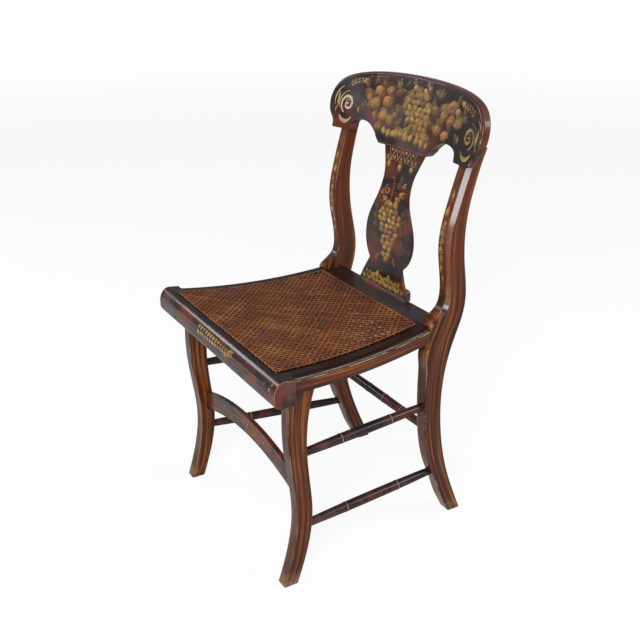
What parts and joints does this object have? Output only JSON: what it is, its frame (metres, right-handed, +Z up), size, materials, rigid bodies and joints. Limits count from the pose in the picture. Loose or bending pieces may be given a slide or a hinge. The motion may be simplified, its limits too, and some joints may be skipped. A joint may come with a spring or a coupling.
{
  "type": "side chair",
  "caption": "Armless side chair with a dished cane seat, sabre legs, a flat arched front stretcher, turned side stretchers, a vase-shaped splat and a curved lobed crest rail.",
  "frame": {"origin": "on the floor below the middle of the chair's overall width and depth", "axes": "+Z up, +Y towards the back of the chair, +X towards its right side as seen from the front"},
  "size_m": [0.492, 0.461, 0.843],
  "materials": {
    "grained_wood": "dark rosewood graining painted over the wood, satin varnish, worn arrises",
    "painted_wood": "near-black and red-brown paint with gold stencilling, glossy varnish",
    "stained_wood": "dark plum-brown paint, satin, pale worn rings",
    "cane": "woven rattan cane, aged red-brown",
    "bare_wood": "unfinished",
    "iron": "dull"
  },
  "bodies": {
    "root": {"left_rear_post": "grained_wood", "right_rear_post": "grained_wood", "left_front_leg": "grained_wood", "right_front_leg": "grained_wood", "left_seat_rail": "grained_wood", "right_seat_rail": "grained_wood", "crest_rail": "painted_wood", "back_splat": "painted_wood", "splat_shoe": "painted_wood", "front_seat_rail": "painted_wood", "rear_seat_rail": "painted_wood", "front_stretcher": "painted_wood", "left_upper_stretcher": "stained_wood", "right_upper_stretcher": "stained_wood", "left_lower_stretcher": "stained_wood", "right_lower_stretcher": "stained_wood", "rear_stretcher": "stained_wood", "cane_seat": "cane", "front_leg_dowels": "bare_wood", "crest_dowels": "bare_wood", "front_rail_dowels": "bare_wood", "side_rail_dowels": "bare_wood", "rear_rail_dowels": "bare_wood", "cane_pegs": "bare_wood", "rear_stretcher_brads": "iron", "splat_brads": "iron"}
  },
  "joints": []
}
